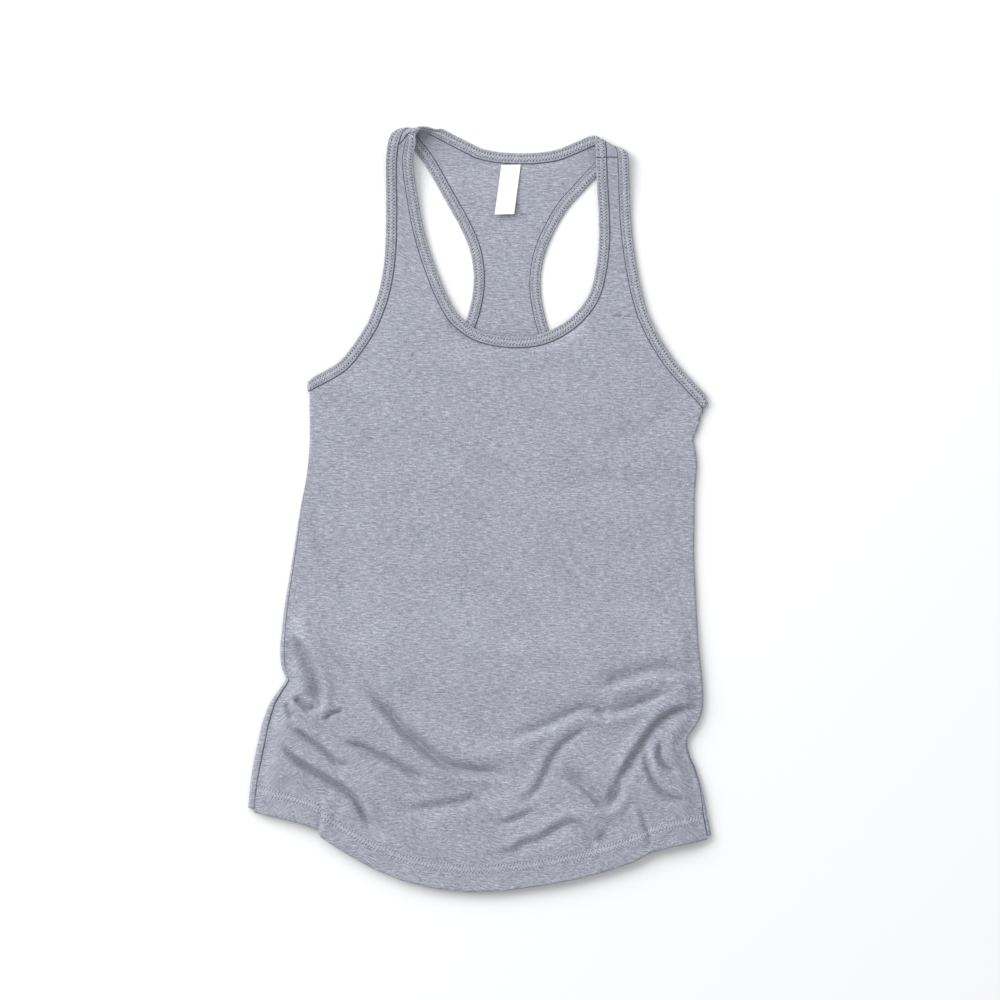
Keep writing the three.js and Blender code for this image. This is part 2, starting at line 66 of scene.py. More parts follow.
# Side rows: rows added below, y, left x, right x, left and right seam angle on the side roll; past 90 degrees the
# back's cloth comes round onto the top and the seam shows beside the edge
SIDES = [
    (0, -280, -203.6, 204.3, 178, 112), (2, -262, -202.8, 200.2, 178, 108), (2, -246, -201.6, 196.6, 178, 70),
    (2, -231, -199.5, 192.6, 175, 30), (2, -217, -197.2, 187.6, 172, 20), (2, -203, -195, 181.6, 166, 30),
    (2, -190, -191.6, 180, 150, 50), (2, -178, -187.2, 187.6, 124, 30), (2, -167, -180.8, 191.8, 100, 10),
    (2, -156, -175.4, 192.2, 92, 0), (2, -146, -179.4, 191.4, 108, -5), (2, -132, -181.2, 189.7, 118, -5),
    (2, -114, -180.8, 186.8, 116, -5), (1, -88, -178.7, 184, 108, -5), (1, -60, -175.2, 181.4, 98, -5),
    (1, -32, -172, 178.9, 84, -5), (1, -4, -168.8, 178, 70, -5), (1, 24, -164.6, 177.2, 54, 0),
    (1, 50, -163.1, 178.1, 36, 20), (0.6, 63, -163.3, 175.8, 26, 0), (0.4, 70.5, -163.6, 173.9, 18, 5),
    (0.4, 77, -164, 176.2, 14, 120), (0.4, 84, -164.5, 178.4, 10, 150), (0.4, 91, -164.9, 180.3, 7, 100),
    (0.4, 99, -165.2, 180.4, 5, 0),
]

# Chest rows: rows added, then x y z of the left armhole, left inner line, right inner line and right armhole.
# Strap rows: rows added, then x y z at the armhole and at the neck.
FRONT = {
    "chest": [
        (0, -165.2, 99, 3.4, -50, 60, 3.4, 70, 60, 3.4, 180.4, 99, 3.4),
        (1, -150, 107.3, 3.4, -50, 78, 3.4, 71, 80, 3.4, 167.5, 111.6, 3.4),
        (1, -133, 118.9, 3.4, -49.5, 102, 3.4, 73, 106, 3.4, 147.5, 132.2, 3.4),
        (1, -117, 140.5, 3.3, -49, 134, 3.4, 75, 138, 3.4, 131.3, 155, 3.3),
        (1, -107, 158.5, 3.1, -47.5, 168.6, 3.3, 76.8, 175.3, 3.3, 120.2, 176, 3.1),
    ],
    "left": [
        (2, -99.5, 182, 2.8, -58.4, 187, 3.0), (2, -95.4, 206, 2.5, -68.2, 209, 2.6),
        (2, -94.1, 229, 2.5, -76.8, 232, 2.6), (1, -94.5, 252, 3.1, -83, 254, 3.2),
        (1, -95.2, 272, 4.4, -87, 273, 4.5), (1, -96.2, 290, 6.6, -90.3, 290, 6.8),
        (1, -96.6, 306, 9.6, -92, 307.5, 9.9), (1, -95.5, 318, 12.0, -88.5, 326.5, 12.2),
    ],
    "right": [
        (2, 113.5, 197, 2.8, 86.6, 192, 3.0), (2, 108.4, 218, 2.4, 91.6, 215, 2.5),
        (2, 104.2, 240, 2.3, 93.3, 240, 2.4), (1, 101.3, 261, 2.5, 92.4, 262, 2.6),
        (1, 99.5, 281, 3.7, 90.6, 281, 3.8), (1, 98.1, 299, 5.2, 88.7, 299, 5.3),
        (1, 96.8, 315.3, 6.5, 87.5, 315, 6.6),
    ],
    "scoop": [(-42, 162.6), (-25.2, 150.7), (-5.6, 145.3), (17.4, 144.4), (40.1, 148.6), (62.5, 161)],
}
BACK = {
    "chest": [
        (0, -165.2, 99, 0.6, -20, 20, 0.6, 26, 20, 0.6, 180.4, 99, 0.6),
        (1, -140, 95.6, 0.6, -20, 42, 0.6, 26, 42, 0.6, 155, 96, 0.6),
        (2, -106, 98, 0.6, -16, 68, 0.6, 24, 68, 0.6, 121, 99, 0.6),
        (2, -70, 110, 0.6, -11, 94, 0.6, 20, 94, 0.6, 85, 110.5, 0.6),
        (2, -42, 130, 0.6, -7, 120, 0.6, 17, 119, 0.6, 57, 126, 0.6),
        (2, -25, 154, 0.6, -4, 150, 0.6, 14, 149, 0.6, 39, 147, 0.6),
        (2, -17.4, 178, 0.6, -3, 182, 0.6, 13, 182, 0.6, 27.8, 178, 0.6),
        (1, -15.2, 203, 0.6, -3, 205, 0.6, 13, 205, 0.6, 24.1, 203, 0.6),
        (2, -19.6, 230, 0.6, -5, 231, 0.6, 15, 231, 0.6, 27, 230, 0.6),
        (1, -30, 253, 0.6, -9.5, 257, 0.6, 20, 257, 0.6, 35.6, 253.4, 0.6),
        (1, -42.5, 273.5, 0.6, -17.5, 284, 0.6, 29, 284, 0.6, 47, 274.5, 0.6),
        (1, -55, 294, 0.6, -34, 312.6, 0.6, 52, 313.2, 0.6, 61, 291.4, 0.6),
    ],
    "left": [
        (1, -66, 310.8, 0.6, -48.5, 319.1, 0.6), (1, -75, 321.2, 0.7, -59.5, 324.3, 0.7),
        (2, -81.2, 328.4, 1.8, -69, 328.8, 1.8), (3, -86, 333, 5.8, -76, 332.8, 6),
        (3, -92.2, 328, 11, -83.8, 331.6, 11.4), (2, -95.5, 318, 12.0, -88.5, 326.5, 12.2),
    ],
    "right": [
        (1, 71.5, 304, 0.6, 64, 319, 0.6), (1, 80.6, 314, 0.65, 73.5, 323.6, 0.65),
        (2, 88, 321.4, 1.3, 80, 326.8, 1.3), (3, 92.8, 325.2, 3.7, 84.4, 329.2, 3.7),
        (3, 95.6, 321, 6.1, 86.3, 325, 6.1), (2, 96.8, 315.3, 6.5, 87.5, 315, 6.6),
    ],
    "scoop": [(-25.7, 309.2), (-8.8, 306.4), (7, 306), (22, 306.6), (40.9, 309.5)],
}

# The front's lower part stands a little off the back: rise, the heights where it starts and is full, rise at the hem
PUFF = {"rise": 6.0, "start": -65, "full": -135, "hem": 3.6}

# Creases of the front: depth in millimetres (below 0 for a ridge), half width left of the line and right of it,
# height of the ridge beside it (above 0 on the left, below 0 on the right), then the line's points as they are
# seen in the photograph, right and down in its pixels
CREASES = [
    (7.5, 2.2, 10, 2.6, 290, 632, 304, 648, 313, 664, 320, 682, 322, 700, 318, 709),
    (5.5, 5, 1.8, -1.4, 292, 697, 301, 704, 309, 710, 319, 708),
    (4.5, 3, 3, 0, 287, 701, 289, 710, 294, 720),
    (3.2, 2.2, 2.8, 0.6, 323, 721, 333, 713, 345, 711),
    (6.0, 1.9, 4, 1.4, 293, 725, 310, 738, 326, 750, 340, 763, 352, 765),
    (8.0, 2.4, 4.5, 2.0, 281, 738, 292, 754, 310, 767, 330, 779, 348, 790, 359, 801, 368, 818, 382, 835),
    (6.2, 4.5, 2.0, -1.6, 338, 742, 362, 748, 380, 757, 396, 765, 412, 774, 432, 782),
    (6.5, 6, 3.2, -2.2, 368, 684, 382, 705, 392, 716, 405, 732, 420, 745, 434, 757, 448, 766, 462, 770, 480, 772,
     496, 774, 515, 780),
    (3.8, 6.5, 2.6, -1.5, 500, 742, 522, 735, 538, 730, 556, 722, 571, 715, 586, 710, 600, 713, 618, 712, 640, 705,
     660, 696, 684, 682),
    (2.0, 2.5, 3, 0, 594, 709, 603, 715, 609, 722),
    (4.5, 9, 2.8, -1.3, 596, 688, 620, 682, 640, 675, 660, 671, 684, 675, 704, 685),
    (5.0, 2.4, 7.5, 2.0, 614, 788, 628, 762, 640, 744, 650, 729, 662, 717, 677, 709, 702, 709),
    (2.6, 3, 4.5, 1.4, 520, 802, 536, 789, 545, 773, 552, 757, 562, 744, 575, 735, 591, 728),
    (2.8, 4.5, 6.5, 0.8, 396, 795, 409, 808, 430, 807, 455, 803, 472, 799, 488, 796),
    (2.6, 3.2, 4, 0.7, 474, 795, 487, 811, 499, 822, 512, 820, 526, 814, 541, 810),
    (2.8, 3, 6.5, 1.6, 490, 854, 514, 850, 522, 843, 540, 838, 558, 826, 574, 821, 586, 830, 593, 840, 601, 838,
     611, 822),
    (5.8, 9, 2.8, -1.5, 558, 775, 578, 783, 590, 793, 601, 804, 611, 805, 618, 796, 624, 778),
    (4.9, 2.2, 3.8, 1.6, 643, 746, 649, 768, 656, 783, 667, 795, 688, 802),
    (4.4, 4.0, 2.2, -1.3, 660, 739, 658, 755, 663, 766, 679, 774),
    (1.6, 2.2, 2.2, -2.0, 639, 802, 644, 822, 652, 845),
    (1.2, 2.2, 2.2, 1.0, 321, 796, 321, 815, 318, 832),
    (-3.8, 8.5, 8.5, 0, 292, 606, 330, 660, 355, 690, 385, 725, 415, 758, 440, 780, 470, 796),
    (-1.8, 9, 9, 0, 420, 726, 470, 752, 510, 752, 552, 738),
    (-1.4, 8, 8, 0, 600, 700, 640, 688, 690, 690),
    (0.9, 4, 7, 0.3, 322, 389, 345, 400, 390, 412),
    (0.6, 4, 6, 0.2, 610, 309, 627, 328, 645, 350),
    (0.8, 5, 9, 0.3, 592, 444, 644, 427, 682, 402),
    (0.8, 5, 9, 0.3, 344, 608, 322, 550, 309, 500),
    (0.6, 5, 8, 0.2, 375, 643, 350, 601, 337, 559),
    (0.6, 5, 8, 0.2, 559, 488, 612, 475, 667, 480),
]


def smooth(t):
    t = np.clip(t, 0, 1)
    return t * t * (3 - 2 * t)


def hem_at(x):
    return np.interp(x, HEM[:, 0], HEM[:, 1])


def along_curve(stations, where):
    """Points of a centripetal spline through the stations, at places counted in stations."""
    p = np.asarray(stations, float)
    p = np.vstack([2 * p[0] - p[1], p, 2 * p[-1] - p[-2]])
    where = np.asarray(where, float)
    k = np.clip(np.floor(where).astype(int), 0, len(stations) - 2)
    w = (where - k)[:, None]
    p0, p1, p2, p3 = p[k], p[k + 1], p[k + 2], p[k + 3]
    d0, d1, d2 = (np.sqrt(np.linalg.norm(b - a, axis=1))[:, None] for a, b in ((p0, p1), (p1, p2), (p2, p3)))
    t1 = ((p1 - p0) / d0 - (p2 - p0) / (d0 + d1) + (p2 - p1) / d1) * d1
    t2 = ((p2 - p1) / d1 - (p3 - p1) / (d1 + d2) + (p3 - p2) / d2) * d1
    return p1 + w * (t1 + w * ((-3 * p1 + 3 * p2 - 2 * t1 - t2) + w * (2 * p1 - 2 * p2 + t1 + t2)))


def row_places(table, fine, first=True):
    """Places of the rows along a table's stations; the table's first column is the rows added at each station."""
    places = [0.0] if first else []
    for i, row in enumerate(table):
        n = round(row[0] * fine)
        places += [i - 1 + k / n for k in range(1, n + 1)]
    return np.array(places)


def off_photo(points):
    """Millimetres on the table for points seen in the photograph; it is turned a little on the table."""
    right, down = (np.asarray(points, float) - (492.4, 511.3)).T * 0.88
    turn = math.radians(2.4)
    return np.stack([right * math.cos(turn) + down * math.sin(turn), right * math.sin(turn) - down * math.cos(turn)], 1)


def near_line(x, y, line):
    """For a line seen in the photograph: distance right of it (left is below 0), distance, and share along it."""
    pts = off_photo(np.array(line, float).reshape(-1, 2))
    bends = len(pts) - 1
    pts = along_curve(pts, np.linspace(0, bends, 3 * bends + 1))
    best = np.full(np.shape(x), 1e9)
    side = np.ones(np.shape(x))
    spot = np.zeros(np.shape(x))
    lengths = np.linalg.norm(np.diff(pts, axis=0), axis=1)
    run = np.concatenate([[0], np.cumsum(lengths)]) / lengths.sum()
    for i, (a, b) in enumerate(zip(pts[:-1], pts[1:])):
        d = b - a
        t = np.clip(((x - a[0]) * d[0] + (y - a[1]) * d[1]) / (d @ d), 0, 1)
        r = np.hypot(x - a[0] - t * d[0], y - a[1] - t * d[1])
        turn = (x - a[0]) * d[1] - (y - a[1]) * d[0]
        closer = r < best
        best = np.where(closer, r, best)
        side = np.where(closer, turn / (lengths[i] * np.maximum(r, 1e-6)), side)
        spot = np.where(closer, run[i] + t * (run[i + 1] - run[i]), spot)
    return best * np.clip(side, -1, 1), best, spot


def waves(x, y, seed, count, shortest, longest):
    """Gentle uneven swells: a sum of plane waves with fixed random directions, between about -1 and 1."""
    rng = np.random.default_rng(seed)
    total = np.zeros(np.shape(x))
    for _ in range(count):
        length = rng.uniform(shortest, longest)
        turn = rng.uniform(0, math.pi)
        total += np.sin((x * math.cos(turn) + y * math.sin(turn)) * 2 * math.pi / length + rng.uniform(0, 2 * math.pi))
    return total / math.sqrt(count)


def crease_height(x, y):
    total = np.zeros(np.shape(x))
    for depth, left, right, ridge, *line in CREASES:
        across, away, spot = near_line(x, y, line)
        ends = smooth(spot / 0.22) * smooth((1 - spot) / 0.22) + 0.1
        valley = depth * np.exp(-((away / np.where(across < 0, left, right)) ** 2))
        top = -left - 3.5 if ridge > 0 else right + 3.5
        beside = abs(ridge) * np.exp(-(((across - top) / 5) ** 2)) * np.exp(-(((away - abs(across)) / 5) ** 2))
        total += ends * (beside - valley)
    return total


def fold_lift(x, y, from_side):
    """Height of the front's folds above its rest, fading towards the sides."""
    low = smooth((PUFF["start"] - y) / (PUFF["start"] - PUFF["full"]))
    near_hem = smooth((y - hem_at(x)) / 60)
    lift = low * (PUFF["hem"] + (PUFF["rise"] - PUFF["hem"]) * near_hem)
    lift = lift + crease_height(x, y) + (0.13 + 0.25 * low) * waves(x, y, 7, 9, 34, 90)
    # Pressed down, the cloth stops at the back panel under it
    opened = (lift + 1.5 + np.sqrt((lift + 1.5) ** 2 + 0.3)) / 2 - 1.55
    return opened * (0.3 + 0.7 * smooth(from_side / 15)) * (1 - smooth((y - 190) / 45))


def back_lift(x, y):
    """Shallow creases pressed into the back where it rests: never below the surface it lies on."""
    swell = waves(x, y, 12, 8, 40, 120)
    return 0.16 * np.maximum(0, swell) ** 1.5 * (1 - smooth((y - 285) / 25))


def bend_to_hem(p, short):
    p = p.copy()
    share = smooth((-90 - p[..., 1]) / 190)
    p[..., 1] += (hem_at(p[..., 0]) + short + 280) * share
    return p


def side_roll(front, y, angle, lift, steps):
    """Distances inwards and heights of the roll that turns a panel's side towards the side seam."""
    radius = (FRONT_MID + lift - BACK_MID) / 2
    half = 0.1 / radius
    start = np.radians(angle) + (half if front else -half)
    end = np.maximum(math.pi / 2, start + 0.6) if front else np.full_like(start, -math.pi / 2)
    closed = 1 - smooth((y - ROLL_OPENS) / (96 - ROLL_OPENS))
    t = np.linspace(0, 1, steps + 1)
    turn = start[:, None] * (1 - t) + end[:, None] * t
    over = np.maximum(0, turn - math.pi / 2)
    turn = np.minimum(turn, math.pi / 2)
    r, c = radius[:, None], closed[:, None]
    flat = (FRONT_MID + lift if front else BACK_MID + 0 * lift)[:, None]
    inwards = (0.6 + 3.3 * t) * (1 - c) + (r + WALL / 2 - r * np.cos(turn) + over * r) * c
    z = flat * (1 - c) + (BACK_MID + r + r * np.sin(turn)) * c
    return inwards, z, 1 - closed


def panel_rows(front, table, fine, short):
    """Middle surface of a panel as grids of points: the body, and the two straps or wings."""
    chest = table["chest"]
    base = FRONT_MID if front else BACK_MID
    side_where = row_places(SIDES, fine["rows"])
    chest_where = row_places(chest, fine["top"])[1:]
    side_line = [along_curve([(r[i], r[1], base) for r in SIDES], side_where) for i in (2, 3)]
    angles = [along_curve([(r[i], 0, 0.001 * n) for n, r in enumerate(SIDES)], side_where)[:, 0] for i in (4, 5)]
    t = np.linspace(0, 1, len(side_where))
    corner, foot = len(side_where) - 1, len(side_where) + len(chest_where) - 1

    def chest_line(i):
        return along_curve([r[i:i + 3] for r in chest], chest_where)

    def inner_line(i, spread):
        y = side_line[0][:, 1]
        low = -100 + (y + 100) * (chest[0][i + 1] + 100) / (chest[0][2] + 100)
        return np.stack([chest[0][i] + (1 - t) * spread, np.where(y < -100, y, low), np.full_like(y, base)], 1)

    outer = [np.vstack([side_line[0], chest_line(1)]), np.vstack([side_line[1], chest_line(10)])]
    inner = [np.vstack([inner_line(4, -22), chest_line(4)]), np.vstack([inner_line(7, 12), chest_line(7)])]

    left, right, scoop = table["left"], table["right"], table["scoop"]
    stations = [r[4:7] for r in left[::-1]] + [chest[-1][4:7]]
    stations += [(x, y, chest[-1][6]) for x, y in scoop] + [chest[-1][7:10]] + [r[4:7] for r in right]
    left_foot, right_foot = len(left), len(left) + len(scoop) + 1

    def place(p, from_side):
        p = bend_to_hem(p, short)
        if front:
            p[..., 2] += fold_lift(p[..., 0], p[..., 1], from_side)
        else:
            p[..., 2] += back_lift(p[..., 0], p[..., 1]) * smooth(from_side / 12)
        return p

    blocks = []
    for s, sign in ((0, 1.0), (1, -1.0)):
        o, i = outer[s], inner[s]
        span = np.linalg.norm(o - i, axis=1)[:, None, None]
        small = 3.3 * np.minimum(1, span / 40)
        lean = ((i - o)[:, 1] / np.abs((i - o)[:, 0]))[:corner + 1, None]
        spot = bend_to_hem(o[:corner + 1], short)
        lift = fold_lift(spot[:, 0], spot[:, 1], np.zeros(corner + 1))
        into, z, opened = side_roll(front, o[:corner + 1, 1], angles[s], lift, fine["roll"])
        roll = bend_to_hem(o[:corner + 1, None] + into[..., None] * np.array([sign, 0, 0]), short)
        roll[..., 1] += opened[:, None] * into * lean
        roll[..., 2] = z
        k = np.linspace(0, 1, fine["roll"] + 1)[None, :, None]
        flat = place(o[corner + 1:, None] * (1 - k * small[corner + 1:] / span[corner + 1:])
                     + i[corner + 1:, None] * k * small[corner + 1:] / span[corner + 1:], np.array(1e3))
        start = np.vstack([o[:corner + 1] + into[:, -1:] * np.array([sign, 0, 0]),
                           (o + (i - o) * (small / span)[:, 0])[corner + 1:]])
        start[:corner + 1, 2] = base
        start[:corner + 1, 1] += opened * into[:, -1] * lean[:, 0]
        start[corner + 1:, 2] = (0.9 * o + 0.1 * i)[corner + 1:, 2]
        k = np.linspace(0, 1, fine["side"] + 1)[1:][None, :, None]
        cells = start[:, None] * (1 - k) + i[:, None] * k
        from_side = np.full(cells.shape[:2], 1e3)
        from_side[:corner + 1] = np.linalg.norm(cells - start[:, None], axis=2)[:corner + 1]
        blocks.append(np.concatenate([np.concatenate([roll, flat]), place(cells, from_side)], axis=1))

    middle = fine["middle"]
    k = np.linspace(0, 1, middle + 1)[1:-1]
    base_line = inner[0][:, None] * (1 - k[None, :, None]) + inner[1][:, None] * k[None, :, None]
    scooped = along_curve(stations, left_foot + (right_foot - left_foot) * k)
    stations_up = np.arange(foot + 1) - corner
    stations_up = np.where(stations_up < 0, stations_up / fine["rows"], stations_up / fine["top"])
    pull = smooth((stations_up + 3) / (stations_up[-1] + 3))[:, None, None]
    wide = np.linalg.norm(inner[1] - inner[0], axis=1)[:, None]
    shift = np.repeat((scooped - base_line[-1])[None], len(base_line), axis=0)
    shift[..., 0] *= wide / wide[-1]
    base_line = base_line + pull * shift
    centre = place(base_line, np.array(1e3))
    body = np.concatenate([blocks[0], centre, blocks[1][:, ::-1]], axis=1)

    straps = []
    for s, rows, sign, from_station in ((0, left, -1, left_foot), (1, right, 1, right_foot)):
        where = row_places([(0,)] + list(rows), fine["top"])[1:]
        o = along_curve([chest[-1][1:4] if s == 0 else chest[-1][10:13]] + [r[1:4] for r in rows], where)
        i = along_curve(stations, from_station + sign * where)
        span = np.linalg.norm(o - i, axis=1)[:, None]
        small = 3.3 * np.minimum(1, span / 40) / span
        n, m = fine["roll"], fine["side"]
        k = np.hstack([small * np.linspace(0, 1, n + 1), small + (1 - small) * np.linspace(0, 1, m + 1)[1:]])
        grid = o[:, None] * (1 - k[..., None]) + i[:, None] * k[..., None]
        grid[..., 2] += (fold_lift(grid[..., 0], grid[..., 1], np.array(1e3)) if front
                         else back_lift(grid[..., 0], grid[..., 1]))
        first = body[-1, :n + m + 1] if s == 0 else body[-1, ::-1][:n + m + 1]
        straps.append(np.concatenate([first[None], grid]))
    return {"body": body, "left": straps[0], "right": straps[1], "corner": corner, "side": fine["roll"] + fine["side"],
            "front": front}


def grid_normals(grid, flip):
    n = np.cross(np.gradient(grid, axis=1), np.gradient(grid, axis=0))
    n /= np.maximum(np.linalg.norm(n, axis=2, keepdims=True), 1e-9)
    return -n if flip else n


def finish_panel(rows):
    """Adds normals that point out of the garment, and the edge lines that the bindings follow."""
    front = rows["front"]
    rows["n"] = {
        "body": grid_normals(rows["body"], not front),
        "left": grid_normals(rows["left"], not front),
        "right": grid_normals(rows["right"], front),
    }
    body, normal, c, side = rows["body"], rows["n"]["body"], rows["corner"], rows["side"]
    join = np.concatenate
    rows["arm_left"] = (
        join([body[c:, 0], rows["left"][1:, 0]]), join([body[c:, 3], rows["left"][1:, 3]]),
        join([normal[c:, 0], rows["n"]["left"][1:, 0]]))
    rows["arm_right"] = (
        join([body[c:, -1], rows["right"][1:, 0]]), join([body[c:, -4], rows["right"][1:, 3]]),
        join([normal[c:, -1], rows["n"]["right"][1:, 0]]))
    rows["neck"] = (
        join([rows["left"][1:, -1][::-1], body[-1, side:-side], rows["right"][1:, -1]]),
        join([rows["left"][1:, -4][::-1], body[-4, side:-side], rows["right"][1:, -4]]),
        join([rows["n"]["left"][1:, -1][::-1], normal[-1, side:-side], rows["n"]["right"][1:, -1]]))
    return rows


def metres(points):
    return (np.asarray(points) - MIDDLE) * MM


def add_object(name, mesh):
    piece = bpy.data.objects.new(name, mesh)
    bpy.context.scene.collection.objects.link(piece)
    return piece


def grid_into(bm, points, uvs, uv_layer):
    """A bmesh grid whose vertices are moved to the points; the pattern coordinates go on its loops."""
    rows, columns = points.shape[:2]
    made = bmesh.ops.create_grid(bm, x_segments=columns - 1, y_segments=rows - 1, size=0.5)["verts"]
    spots = {}
    for v in made:
        i = round((v.co.x + 0.5) * (columns - 1))
        j = round((v.co.y + 0.5) * (rows - 1))
        spots[v] = (j, i)
        v.co = points[j, i]
    for face in {f for v in made for f in v.link_faces}:
        for loop in face.loops:
            loop[uv_layer].uv = uvs[spots[loop.vert]]
    return made


def cloth_lengths(grid):
    """Pattern coordinates of a body grid: x and y, with the cloth that each fold takes up added on the way."""

    def steps(axis):
        step = np.diff(grid, axis=axis)
        return step, np.linalg.norm(step, axis=2) - np.linalg.norm(step[..., :2], axis=2)

    step, folded = steps(1)
    across = np.abs(step[..., 0]) + folded
    step, folded = steps(0)
    up = step[..., 1] + folded
    middle = grid.shape[1] // 2
    u = np.concatenate([-np.cumsum(across[:, :middle][:, ::-1], axis=1)[:, ::-1], 0 * across[:, :1],
                        np.cumsum(across[:, middle:], axis=1)], axis=1) + grid[:, middle:middle + 1, 0]
    v = grid[-1:, :, 1] - np.concatenate([np.cumsum(up[::-1], axis=0)[::-1], 0 * up[:1]], axis=0)
    return np.stack([u, v], axis=2)


def panel_piece(name, rows, material, out):
    """Cloth panel: the middle surface moved out to its outer face, then given its wall inwards."""
    bm = bmesh.new()
    uv_layer = bm.loops.layers.uv.new("Pattern")
    front = rows["front"]
    for part in ("body", "left", "right"):
        grid, normal = rows[part], rows["n"][part]
        if part == "body":
            uvs = cloth_lengths(grid) * MM
        else:
            step = np.linalg.norm(np.diff(grid, axis=0), axis=2).mean(axis=1)
            run = np.concatenate([[0], np.cumsum(step)])[:, None] + grid[0, :, 1][None]
            across = np.linalg.norm(grid - grid[:, :1], axis=2)
            sign = 1 if part == "left" else -1
            uvs = np.stack([grid[0, 0, 0] + sign * across, run + 0 * across], axis=2) * MM
        surface = metres(grid + normal * out(grid)[..., None])
        made = grid_into(bm, surface, uvs, uv_layer)
        if (part == "right") == front:
            bmesh.ops.reverse_faces(bm, faces=list({f for v in made for f in v.link_faces}))
    bmesh.ops.remove_doubles(bm, verts=bm.verts, dist=2e-5)
    mesh = bpy.data.meshes.new(name)
    bm.to_mesh(mesh)
    bm.free()
    for face in mesh.polygons:
        face.use_smooth = True
    piece = add_object(name, mesh)
    wall = piece.modifiers.new("cloth wall", "SOLIDIFY")
    wall.thickness = CLOTH * MM
    wall.offset = -1
    wall.use_rim = True
    faces = piece.modifiers.new("faces along the folds", "TRIANGULATE")
    faces.quad_method = "SHORTEST_DIAGONAL"
    mesh.materials.append(material)
    return piece


def side_fold(front_end, back_end, out):
    """Points that carry an armhole edge round the side, from the front's corner over to the back's."""
    (pf, qf, nf), (pb, qb, nb) = front_end, back_end
    inward = (qf - pf) * np.array([1, 1, 0])
    turn = np.linspace(math.pi / 2, -math.pi / 2, 13)[:, None]
    middle, radius = (pf + pb) / 2, (pf[2] - pb[2]) / 2
    up = np.array([0, 0, 1.0])
    p = middle + out * radius * np.cos(turn) + up * radius * np.sin(turn)
    n = out * np.cos(turn) + up * np.sin(turn)
    return p, p + inward, n


def edge_frames(lines, away_at_ends=None, ring=False, tuck=0.0, spacing=0.75):
    """Evenly spaced frames along panel edges: point, along, away from the panel, up off its wall."""
    p, q, n = (np.concatenate([line[i] for line in lines]) for i in range(3))
    keep = np.concatenate([[True], np.linalg.norm(np.diff(p, axis=0), axis=1) > 0.15])
    p, q, n = p[keep], q[keep], n[keep]
    run = np.concatenate([[0], np.cumsum(np.linalg.norm(np.diff(p, axis=0), axis=1))])
    even = np.linspace(0, run[-1], int(run[-1] / spacing) + 1)
    p, q, n = (np.stack([np.interp(even, run, each[:, c]) for c in range(3)], axis=1) for each in (p, q, n))
    run = even
    along = np.gradient(p, axis=0)
    along /= np.linalg.norm(along, axis=1, keepdims=True)
    away = p - q
    away /= np.maximum(np.linalg.norm(away, axis=1, keepdims=True), 1e-9)
    lies = smooth((np.abs(n[:, 2]) - 0.7) / 0.25)[:, None]
    away = away - along * np.sum(away * along, axis=1, keepdims=True) * lies
    away[:, 2] *= np.where(lies[:, 0] > 0, 0.5, 1)
    away /= np.linalg.norm(away, axis=1, keepdims=True)
    if away_at_ends is not None:
        at = np.minimum(run, run[-1] - run)
        share = (1 - smooth((at - 8) / 26))[:, None]
        away = away * (1 - share) + np.array(away_at_ends) / np.linalg.norm(away_at_ends) * share
    gap = np.abs(run[:, None] - run[None])
    if ring:
        gap = np.minimum(gap, run[-1] - gap)
    # Where the edge bends over a shoulder or round the side, the outer fold is pulled in
    over = np.exp(-((gap / 4.5) ** 2))
    narrow = 1 - 0.26 * (over @ (1 - lies[:, 0])) / over.sum(axis=1)
    narrow *= 1 - tuck * np.exp(-((np.minimum(run, run[-1] - run) / 4.5) ** 2))
    away = np.exp(-((gap / 10.0) ** 2)) @ away
    n = np.exp(-((gap / 1.6) ** 2)) @ n
    p = np.exp(-((gap / 0.8) ** 2)) @ p / np.exp(-((gap / 0.8) ** 2)).sum(axis=1, keepdims=True) if ring else p
    away /= np.linalg.norm(away, axis=1, keepdims=True)
    up = n - away * np.sum(n * away, axis=1, keepdims=True)
    up /= np.linalg.norm(up, axis=1, keepdims=True)
    if ring:
        for each in (p, away, up):
            each[0] = each[-1] = (each[0] + each[-1]) / 2
    skew = np.clip(np.linalg.norm(np.cross(away, along), axis=1), 0.8, 1)
    return {"p": p, "along": along, "away": away, "up": up, "run": run, "skew": skew, "lies": lies[:, 0],
            "narrow": narrow}


STITCH_ROWS = (2.8, 7.3)
STITCH_PITCH = 2.8

# Section of a folded binding: share of the width out from the seam, share of the height from its underside
SECTION = [
    (0, 0.5), (0, 0.78), (0.015, 0.9), (0.05, 0.975), (0.11, 1), (0.18, 0.99), (0.23, 0.97), (0.28, 0.955),
    (0.33, 0.97), (0.40, 0.99), (0.5, 0.995), (0.6, 0.99), (0.68, 0.97), (0.75, 0.955), (0.80, 0.97), (0.86, 0.985),
    (0.92, 0.96), (0.96, 0.88), (0.985, 0.74), (1, 0.5), (0.985, 0.26), (0.96, 0.12), (0.92, 0.04), (0.86, 0.015),
    (0.80, 0.03), (0.75, 0.045), (0.68, 0.03), (0.5, 0.005), (0.33, 0.03), (0.28, 0.045), (0.23, 0.03), (0.11, 0),
    (0.05, 0.025), (0.015, 0.1), (0, 0.22),
]


def section_heights(frames):
    on_back = smooth((0.5 - frames["up"][:, 2]) / 1.2)
    return 1.1 - 0.5 * on_back, -0.8 - 0.55 * on_back


